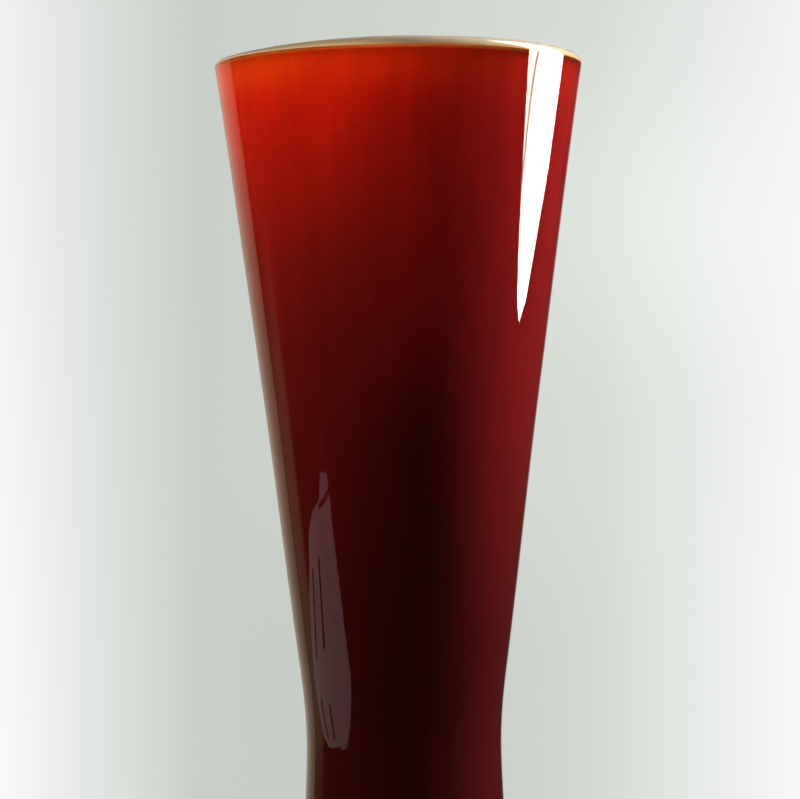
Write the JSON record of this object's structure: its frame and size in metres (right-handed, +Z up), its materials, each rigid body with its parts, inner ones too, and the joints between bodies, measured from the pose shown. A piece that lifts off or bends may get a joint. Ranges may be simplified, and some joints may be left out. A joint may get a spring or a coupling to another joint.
{
  "type": "cased glass vase",
  "caption": "Tall waisted hand-blown vase of cased glass with a trumpet mouth, a ruby layer over an opal lining, a clear outer casing and a fire-polished lip.",
  "frame": {"origin": "centre of the foot, on the surface that the vase stands on", "axes": "+Z up along the axis of revolution, out of the mouth; +X and +Y are any two directions square to it"},
  "size_m": [0.0998, 0.0998, 0.33],
  "materials": {
    "clear_glass": "polished, colourless",
    "ruby_glass": "glossy, dense ruby red that thins to orange-red at the mouth",
    "opal_glass": "glossy, milky white",
    "lip_glass": "fire polished, cream"
  },
  "bodies": {
    "root": {"clear_casing": "clear_glass", "ruby_overlay": "ruby_glass", "opal_lining": "opal_glass", "fire_polished_lip": "lip_glass"}
  },
  "joints": []
}
